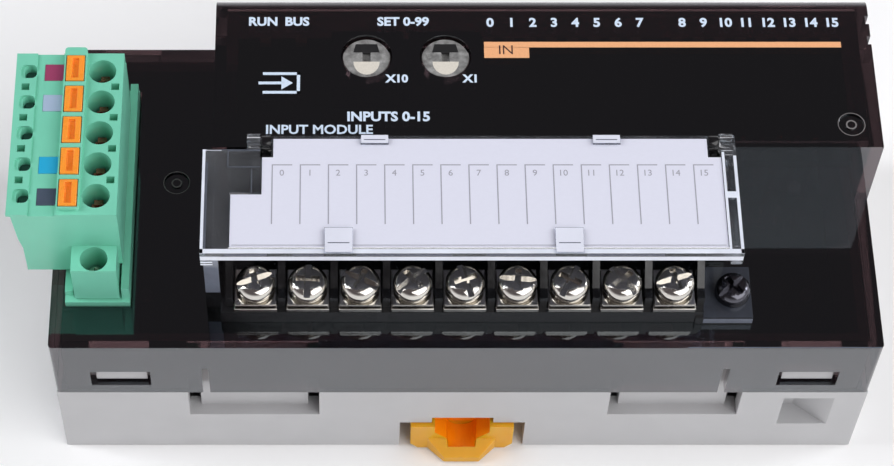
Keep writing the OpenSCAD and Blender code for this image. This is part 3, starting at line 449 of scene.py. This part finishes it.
def lettering(name, marks, height, z, ink, body, bold=0.0):
    """Printed marks (text, x, y) in one mesh, each centred at its place; height is of a capital letter."""
    bm = bmesh.new()
    for text, x, y in marks:
        curve = bpy.data.curves.new(name + "_tmp", "FONT")
        curve.body = text
        curve.align_x, curve.align_y = "CENTER", "CENTER"
        curve.size = height / CAPITAL
        curve.offset = bold
        curve.extrude = INK / 2
        curve.resolution_u = 3
        tmp = bpy.data.objects.new(name + "_tmp", curve)
        bpy.context.scene.collection.objects.link(tmp)
        bpy.context.view_layer.update()
        drawn = tmp.evaluated_get(bpy.context.evaluated_depsgraph_get())
        mesh = bpy.data.meshes.new_from_object(drawn)
        mesh.transform(Matrix.Translation(mm(x, y, z + INK / 2)) @ Matrix.Scale(MM, 4))
        bm.from_mesh(mesh)
        bpy.data.meshes.remove(mesh)
        bpy.data.objects.remove(tmp)
        bpy.data.curves.remove(curve)
    bmesh.ops.remove_doubles(bm, verts=bm.verts, dist=1e-7)
    add_mesh(name, bm, INKS[ink].mat, body)


cover_low, cover_high = box_mm("front_cover")
top_z = cover_high[2]
ink_z = top_z + INK
DECK_RISE = 13.0
deck_top = cover_low[2] + DECK_RISE

# Numerals of the inputs along the rear edge, in two groups of eight, and the other captions
NUMERAL_PITCH, NUMERAL_Y = 3.02, 20.08
GROUP_X = (3.9, 31.07)
CAPTION_Y, SWITCH_MARK_Y = 20.25, 10.48
BOLD, MEDIUM, LIGHT = 0.075, 0.05, -0.01
numerals = [
    (str(8 * group + i), first_x + i * NUMERAL_PITCH, NUMERAL_Y)
    for group, first_x in enumerate(GROUP_X)
    for i in range(8)
]
for name, marks, height, weight in (
    ("input_numerals", numerals, 1.45, BOLD),
    ("switch_marks", [("X10", -9.35, SWITCH_MARK_Y), ("X1", 0.98, SWITCH_MARK_Y)], 1.25, BOLD),
    ("lamp_marks", [("RUN", -28.2, CAPTION_Y), ("BUS", -23.4, CAPTION_Y)], 1.4, BOLD),
    ("switch_caption", [("SET 0-99", -8.4, CAPTION_Y)], 1.4, BOLD),
    ("kind_caption", [("INPUTS 0-15", -10.6, 4.1)], 1.5, BOLD),
    ("kind_line", [("INPUT MODULE", -20.2, 1.95)], 1.45, MEDIUM),
):
    lettering(name, marks, height, top_z, "white", "housing", weight)

# A plain mark: an arrow that points into a frame
MARK_X, MARK_Y, MARK_W, MARK_H, MARK_LINE = -25.5, 9.8, 5.2, 3.6, 0.45
SHAFT_OUT, HEAD_HALF, HEAD_LENGTH = 0.6, 1.1, 1.6
x0, x1 = MARK_X - MARK_W / 2, MARK_X + MARK_W / 2
y0, y1 = MARK_Y - MARK_H / 2, MARK_Y + MARK_H / 2
shaft_y = (MARK_Y - MARK_LINE / 2, MARK_Y + MARK_LINE / 2)
bm = bmesh.new()
slab(bm, (x0, y0, top_z), (x1, y0 + MARK_LINE, ink_z))
slab(bm, (x0, y1 - MARK_LINE, top_z), (x1, y1, ink_z))
slab(bm, (x1 - MARK_LINE, y0, top_z), (x1, y1, ink_z))
slab(bm, (x0 - SHAFT_OUT, shaft_y[0], top_z), (MARK_X + 0.2, shaft_y[1], ink_z))
arrow_head = [(MARK_X, MARK_Y - HEAD_HALF), (MARK_X + HEAD_LENGTH, MARK_Y), (MARK_X, MARK_Y + HEAD_HALF)]
prism(bm, arrow_head, top_z, ink_z)
add_mesh("input_mark", bm, INKS["white"].mat, "housing")

# The salmon bar with its tab
BAR = ((2.95, 15.85), (53.2, 16.8))
TAB = ((2.93, 14.05), (9.26, 15.9))
bm = bmesh.new()
for low, high in (BAR, TAB):
    slab(bm, (*low, top_z), (*high, ink_z))
add_mesh("input_bar", bm, INKS["salmon"].mat, "housing")
TAB_MARK, TAB_MARK_H = ("IN", 6.0, 15.35), 1.55
lettering("input_tab_mark", [TAB_MARK], TAB_MARK_H, ink_z, "dark", "housing", LIGHT)

# Label print: one half frame and a numeral for each input, and a line along the front
card_low, card_high = box_mm("label_card")
card_x, card_y, card_z = card_low[0], card_low[1], card_high[2]
FRAME_PITCH, FRAME_FIRST, FRAME_Y, FRAME_REACH = 3.81, 5.6, (3.6, 13.1), 2.7
CARD_LINE, CARD_INK, CARD_MARGIN = 0.16, 0.012, 0.3
FRONT_LINE_Y = (0.25, 0.37)
card_ink_z = card_z + CARD_INK
frame_x = [card_x + FRAME_FIRST + i * FRAME_PITCH for i in range(16)]
bm = bmesh.new()
for x in frame_x:
    side = (x - CARD_LINE / 2, x + CARD_LINE / 2)
    slab(bm, (side[0], card_y + FRAME_Y[0], card_z), (side[1], card_y + FRAME_Y[1], card_ink_z))
    top_start = (side[1] + 0.001, card_y + FRAME_Y[1] - CARD_LINE, card_z)
    slab(bm, top_start, (x + FRAME_REACH, card_y + FRAME_Y[1], card_ink_z))
slab(
    bm,
    (card_x + CARD_MARGIN, card_y + FRONT_LINE_Y[0], card_z),
    (card_high[0] - CARD_MARGIN, card_y + FRONT_LINE_Y[1], card_ink_z),
)
add_mesh("label_marks", bm, INKS["grey"].mat, "terminal_cover")
LABEL_H, LABEL_X, LABEL_Y = 0.95, 1.3, 11.7
label_numerals = [(str(i), x + LABEL_X, card_y + LABEL_Y) for i, x in enumerate(frame_x)]
lettering("label_numerals", label_numerals, LABEL_H, card_z, "grey", "terminal_cover")

# The clear cover: painted highlights along its rims, faint dark lines of painted shade over its inner
# walls, clip faces with a painted highlight and a painted shade line, and painted shade in its grooves
lid_low, lid_high = box_mm("terminal_cover")
lid_left, lid_right, lid_front = lid_low[0], lid_high[0], lid_low[1]
LID_OVER_CARD = 0.2
lid_top = card_z + LID_OVER_CARD
LID_SIDE, LID_REAR = 16.5, 18.35  # depth at the ends and in the middle
notch_x = card_x + 4.0
PROUD = 0.012


def on_lid(x0, x1, y0, y1):
    """A thin plate on top of the cover, with y from its front edge."""
    return (x0, lid_front + y0, lid_top - 0.04), (x1, lid_front + y1, lid_top + PROUD)


def on_lid_front(x0, x1, down1, down0, proud=PROUD):
    """A thin plate on the cover's front face, with heights down from its top."""
    return (x0, lid_front - proud, lid_top - down1), (x1, lid_front + 0.03, lid_top - down0)


FRONT_RIM, END_RIM, POST = 0.7, 0.4, 1.6
bar_y = LID_SIDE / 2 + 1
rims = [
    on_lid(lid_left, lid_right, 0.02, FRONT_RIM),
    on_lid(lid_left, lid_left + END_RIM, 0, LID_SIDE),
    on_lid(lid_right - 0.42, lid_right, 0, LID_SIDE - 1),
    on_lid(lid_right - POST - 0.35, lid_right - POST, FRONT_RIM, LID_SIDE - 0.4),
    on_lid(lid_right - POST, lid_right - END_RIM, bar_y - 0.5, bar_y + 0.5),
    on_lid_front(lid_left, lid_right, 1.8, 0.85),
    on_lid(lid_left + END_RIM, lid_left + 2.6, LID_SIDE - 0.2, LID_SIDE),
    on_lid_front(lid_left, lid_left + POST, 2.5, 2.15),
    on_lid_front(lid_left, lid_left + POST, 3.05, 2.75),
]
# Pale plates on the rims and front face of the cover: painted highlights
plates("lid_rim_highlights", rims, RIM_HIGHLIGHT.mat, "terminal_cover")

# Dark lines on top of the cover, over its inner walls: painted shade where the clear walls bend the light
# away
FAINT_LINE = 0.14
boss_x = (lid_left + 3.4, notch_x - 0.1)
boss_y = (LID_SIDE - 2.9, LID_SIDE - 0.3)
faint = [on_lid(*boss_x, y, y + FAINT_LINE) for y in boss_y]
faint.append(on_lid(boss_x[0], boss_x[0] + FAINT_LINE, *boss_y))
faint.append(on_lid(lid_left + 0.5, notch_x, LID_SIDE - FAINT_LINE, LID_SIDE))
faint.append(on_lid(notch_x - 1.25, notch_x - 1.1, 9.6, LID_SIDE - 3.2))
faint.append(on_lid(lid_left + 0.45, lid_left + 0.75, FRONT_RIM, LID_SIDE - 2))
plates("lid_faint_shade_lines", faint, FAINT_SHADE.mat, "terminal_cover")

# Pale clip faces: a painted highlight for the light the clear clips gather; the dark line across each is
# painted shade
REAR_CLIPS, REAR_CLIP_Y = (23.4, 55.0), (LID_REAR - 1.0, LID_REAR + 0.3)
FRONT_CLIPS, FRONT_CLIP_Y = (18.5, 49.3), (0.05, 3.85)
CLIP_HALF, CLIP_LINE_HALF, CLIP_LINE_AT = 1.85, 1.45, 0.36
clip_z = lid_high[2]
clips = [(x, *REAR_CLIP_Y) for x in REAR_CLIPS] + [(x, *FRONT_CLIP_Y) for x in FRONT_CLIPS]
faces, lines = [], []
for x, y0, y1 in clips:
    x, y0, y1 = lid_left + x, lid_front + y0, lid_front + y1
    faces.append(((x - CLIP_HALF, y0, clip_z - 0.1), (x + CLIP_HALF, y1, clip_z + 0.01)))
    line_y = y0 + (y1 - y0) * CLIP_LINE_AT
    line_end = (x + CLIP_LINE_HALF, line_y + FAINT_LINE, clip_z + 0.02)
    lines.append(((x - CLIP_LINE_HALF, line_y, clip_z), line_end))
plates("clip_highlights", faces, CLIP_HIGHLIGHT.mat, "terminal_cover")
plates("clip_shade_lines", lines, SHADE.mat, "terminal_cover")

# Dark plates in the grooves of the cover's front face: painted shade
GROOVES = [(3.2, 9.0), (12.3, 16.6), (20.9, 33.6), (38.2, 47.4), (51.6, 62.0)]
grooves = [on_lid_front(lid_left + a, lid_left + b, 0.62, 0.2, proud=0.014) for a, b in GROOVES]
plates("lid_groove_shades", grooves, SHADE.mat, "terminal_cover")

# Painted sheen: reflections painted on the block's left end wall and on the ear of its right fixing screw
block_low = box_mm("block_body")[0]
screw_low, screw_high = box_mm("fixing_screw_right")
block_left, block_front = block_low[0], block_low[1]
EAR_H, EAR_REACH, END_WALL_SET = 1.6, (-4.2, 2.6), 2.7
ear_z = deck_top + EAR_H
ear_x = [(screw_low[0] + screw_high[0]) / 2 + reach for reach in EAR_REACH]
wall_y = block_front + END_WALL_SET
wall_sheen = (
    (block_left + 0.05, wall_y - PROUD, ear_z + 2.5),
    (block_left + 2.05, wall_y + 0.03, lid_top - 3.5),
)
ear_front = ((ear_x[0], block_front - PROUD, ear_z - 1.3), (ear_x[1], block_front + 0.03, ear_z - 0.15))
ear_sheen = ((ear_x[0], block_front + 0.1, ear_z - 0.03), (ear_x[1], block_front + 8.2, ear_z + PROUD))
plates("block_end_sheen", [wall_sheen], SHEEN.mat, "terminal_block")
plates("ear_front_sheen", [ear_front], SHEEN.mat, "terminal_block")
plates("ear_top_sheen", [ear_sheen], DARK_SHEEN.mat, "terminal_block")

# A painted highlight on the front edge of the deck, bright at its right end
EDGE_LENGTH, EDGE_Y = 27.0, (0.05, 0.17)
deck_highlight = (
    (cover_high[0] - EDGE_LENGTH, cover_low[1] + EDGE_Y[0], deck_top - 0.02),
    (cover_high[0] - 0.3, cover_low[1] + EDGE_Y[1], deck_top + 0.01),
)
plates("deck_front_highlight", [deck_highlight], SHEEN.mat, "housing")

# Painted highlights on the rims of the two gate marks and of their nubs
GATES = [(cover_low[0] + 16.9, 1.9, deck_top), (cover_high[0] - 4.1, 2.9, top_z)]
PIT_RIM = (1.79, 1.91, -0.03, 0.01)  # inner and outer radius, lower and upper height
NUB_RIM = (0.55, 0.76, -0.14, -0.09)
bm = bmesh.new()
for x, y, z in GATES:
    for inner, outer, low, high in (PIT_RIM, NUB_RIM):
        ring(bm, x, y, inner, outer, z + low, z + high)
bmesh.ops.recalc_face_normals(bm, faces=bm.faces[:])
add_mesh("gate_rim_highlights", bm, GATE_HIGHLIGHT.mat, "housing")

# Painted glow: a bright orange lining of the hollow in the rail lock, for light shining through the
# plastic: sloping sides, round bottom and back
lock_low, lock_high = box_mm("rail_lock")
TAB_REACH = 2.3
HOLLOW_R, HOLLOW_DEEP, HOLLOW_HALF, HOLLOW_STEP, SKIN = 2.2, 3.4, 4, 1.8, 0.03
ARC_INSIDE, ARC_IN_TAB = (183, 357), (208, 332)
lock_x = (lock_low[0] + lock_high[0]) / 2
lock_top = lock_high[2]
lock_face = lock_low[1] + TAB_REACH
hollow_z = lock_low[2] + 3.1


def lining(bm, outline, y0, y1):
    """A thin skin along an open outline (x, z), from y0 to y1."""
    edges = []
    for y in (y0, y1):
        for k in (SKIN, -SKIN / 2):
            edge = []
            for x, z in outline:
                dx, dz = lock_x - x, lock_top - z
                length = math.hypot(dx, dz)
                edge.append(bm.verts.new(mm(x + dx / length * k, y, z + dz / length * k)))
            edges.append(edge)
    inner0, outer0, inner1, outer1 = edges
    for a, b in ((inner0, inner1), (outer1, outer0), (outer0, inner0), (inner1, outer1)):
        for i in range(len(outline) - 1):
            bm.faces.new((a[i], a[i + 1], b[i + 1], b[i]))
    for i in (0, -1):
        bm.faces.new((inner0[i], inner1[i], outer1[i], outer0[i]))
    bmesh.ops.recalc_face_normals(bm, faces=bm.faces[:])


def bottom_arc(start, end, steps=16):
    """Points on the round bottom of the hollow, between two angles in degrees."""
    turns = [math.radians(start + (end - start) * i / steps) for i in range(steps + 1)]
    return [(lock_x + HOLLOW_R * math.cos(t), hollow_z + HOLLOW_R * math.sin(t)) for t in turns]


step_z = lock_top - HOLLOW_STEP
brim_z = lock_top - 0.1
left_side = [(lock_x - HOLLOW_HALF, brim_z), (lock_x - HOLLOW_HALF, step_z)]
right_side = [(lock_x + HOLLOW_HALF, step_z), (lock_x + HOLLOW_HALF, brim_z)]
back_y = lock_face + HOLLOW_DEEP
front_y = lock_face + 0.05
bm = bmesh.new()
lining(bm, left_side + bottom_arc(*ARC_INSIDE) + right_side, front_y, back_y)
lining(bm, bottom_arc(*ARC_IN_TAB), lock_face - 0.97, front_y)
for half, z0, z1 in ((3.9, step_z, brim_z), (HOLLOW_R, hollow_z - 1, step_z)):
    slab(bm, (lock_x - half, back_y - SKIN, z0), (lock_x + half, back_y + 0.01, z1))
add_mesh("lock_hollow_glow", bm, HOLLOW_GLOW.mat, "rail_lock")

# Dark bottoms of the plug's test wells, and the clamps at the bottom of its wire entries
plug_low, plug_high = box_mm("plug_body")
FACE_DROP = 0.8
WELL, WELL_LEFT, WELL_BACK, WELL_GAP, WELL_DOWN = 2.2, 0.7, 0.55, 0.05, (3.5, 1.5)
WIRE_R, BOTTOM_R, BOTTOM_DOWN = 1.9, 1.85, (5.9, 5.4)
CLAMP = [((-0.9, -1.0, -5.4), (1.0, 1.2, -4.1)), ((-0.5, 0.6, -4.2), (0.7, 1.4, -3.3))]
plug_face = plug_high[2] - FACE_DROP
well_x = plug_low[0] + WELL_LEFT
lever_boxes = [box_mm(f"release_lever_{i}") for i in LEVERS]
wire_x = lever_boxes[0][1][0] + 0.55 + WIRE_R
turns = [math.pi * k / 12 for k in range(24)]
for i, (low, high) in zip(LEVERS, lever_boxes):
    y = (low[1] + high[1]) / 2
    well_low = (well_x + WELL_BACK, y - WELL / 2 + WELL_GAP, plug_face - WELL_DOWN[0])
    well_high = (well_x + WELL - WELL_GAP, y + WELL / 2 - WELL_GAP, plug_face - WELL_DOWN[1])
    plates(f"well_bottom_{i}", [(well_low, well_high)], WELL_SHADE.mat, "plug")
    bm = bmesh.new()
    bottom = [(wire_x + BOTTOM_R * math.cos(a), y + BOTTOM_R * math.sin(a)) for a in turns]
    prism(bm, bottom, plug_face - BOTTOM_DOWN[0], plug_face - BOTTOM_DOWN[1])
    add_mesh(f"entry_bottom_{i}", bm, WELL_SHADE.mat, "plug")
    bm = bmesh.new()
    entry = (wire_x, y, plug_face)
    for part in CLAMP:
        slab(bm, *[[a + b for a, b in zip(entry, corner)] for corner in part])
    add_mesh(f"entry_clamp_{i}", bm, COPPER.mat, "plug")

# Pointer faces of the two dials, and painted shade in their slots
POINTER_W, POINTER_H, POINTER_BACK, POINTER_Z = 1.85, 2.2, 0.75, (-0.3, 0.02)
SLOT_NEAR, SLOT_FAR, SLOT_Z = (1.9, 0.9), (1.5, 2.5), (-0.5, -0.33)  # half width, place behind the centre
arc = [math.pi + math.pi * i / 12 for i in range(13)]
for dial in DIALS:
    low, high = box_mm(f"address_dial_{dial}")
    cx, cy, top = (low[0] + high[0]) / 2, (low[1] + high[1]) / 2, high[2]
    bm = bmesh.new()
    half_moon = [(cx + POINTER_W * math.cos(a), cy - POINTER_BACK + POINTER_H * math.sin(a)) for a in arc]
    prism(bm, half_moon, *[top + z for z in POINTER_Z])
    add_mesh(f"dial_pointer_{dial}", bm, INKS["cream"].mat, f"dial_{dial}")
    bm = bmesh.new()
    near = [(cx + side * SLOT_NEAR[0], cy + SLOT_NEAR[1]) for side in (-1, 1)]
    far = [(cx + side * SLOT_FAR[0], cy + SLOT_FAR[1]) for side in (1, -1)]
    prism(bm, near + far, *[top + z for z in SLOT_Z])
    add_mesh(f"dial_slot_shade_{dial}", bm, INKS["slot"].mat, f"dial_{dial}")

# ---------------------------------------------------------------- stage, light and camera


def area(name, place, size, energy, colour=(1, 1, 1)):
    """A soft rectangular light that points at the origin."""
    data = bpy.data.lights.new(name, "AREA")
    data.shape = "RECTANGLE"
    data.size, data.size_y = size
    data.energy = energy
    data.color = colour
    obj = bpy.data.objects.new(name, data)
    obj.location = place
    obj.rotation_euler = (-Vector(place)).to_track_quat("-Z", "Y").to_euler()
    bpy.context.scene.collection.objects.link(obj)


FLOOR_GAP, FLOOR_HALF = 0.0001, 2.5
bm = bmesh.new()
floor_place = Matrix.Translation((0, 0, cad_box[0][2] - FLOOR_GAP))
bmesh.ops.create_grid(bm, x_segments=8, y_segments=8, size=FLOOR_HALF, matrix=floor_place)
floor_mesh = bpy.data.meshes.new("floor")
bm.to_mesh(floor_mesh)
bm.free()
floor = bpy.data.objects.new("floor", floor_mesh)
bpy.context.scene.collection.objects.link(floor)
ground = Shader("floor_look")
ground.set(Base_Color=(0.97, 0.97, 0.97, 1), Roughness=0.8)
floor.data.materials.append(ground.mat)

COOL = (0.95, 0.97, 1.0)
area("key", (0.62, -0.50, 0.85), size=(1.25, 1.15), energy=10.2)
area("left", (-0.80, 0.05, 0.70), size=(0.3, 0.7), energy=5.7, colour=COOL)
area("right", (0.95, 0.25, 0.6), size=(0.3, 0.6), energy=3.4, colour=COOL)

# The sky is pale below the horizon and dark above it, so that the glossy deck stays dark
SKY = [(0.0, (0.95, 0.95, 0.97, 1)), (0.5, (0.106, 0.093, 0.098, 1))]
world = bpy.data.worlds.new("studio")
bpy.context.scene.world = world
world.use_nodes = True
tree = world.node_tree
background = tree.nodes["Background"]
sky_coord = tree.nodes.new("ShaderNodeTexCoord")
sky_split = tree.nodes.new("ShaderNodeSeparateXYZ")
sky_ramp = tree.nodes.new("ShaderNodeValToRGB")
for stop, (position, colour) in zip(sky_ramp.color_ramp.elements, SKY):
    stop.position = position
    stop.color = colour
tree.links.new(sky_coord.outputs["Generated"], sky_split.inputs[0])
tree.links.new(sky_split.outputs["Z"], sky_ramp.inputs[0])
tree.links.new(sky_ramp.outputs[0], background.inputs["Color"])
background.inputs["Strength"].default_value = 1.1

camera_data = bpy.data.cameras.new("camera")
camera_data.sensor_width = 36
camera_data.lens = 105.13
camera_data.shift_x, camera_data.shift_y = 0.1155, 0.0749
camera_data.clip_start = 0.01
camera = bpy.data.objects.new("camera", camera_data)
camera.location = (-0.0168, -0.1977, 0.3390)
camera.rotation_euler = (math.radians(29.83), 0, 0)
bpy.context.scene.collection.objects.link(camera)
bpy.context.scene.camera = camera
bpy.context.scene.view_settings.view_transform = "Standard"
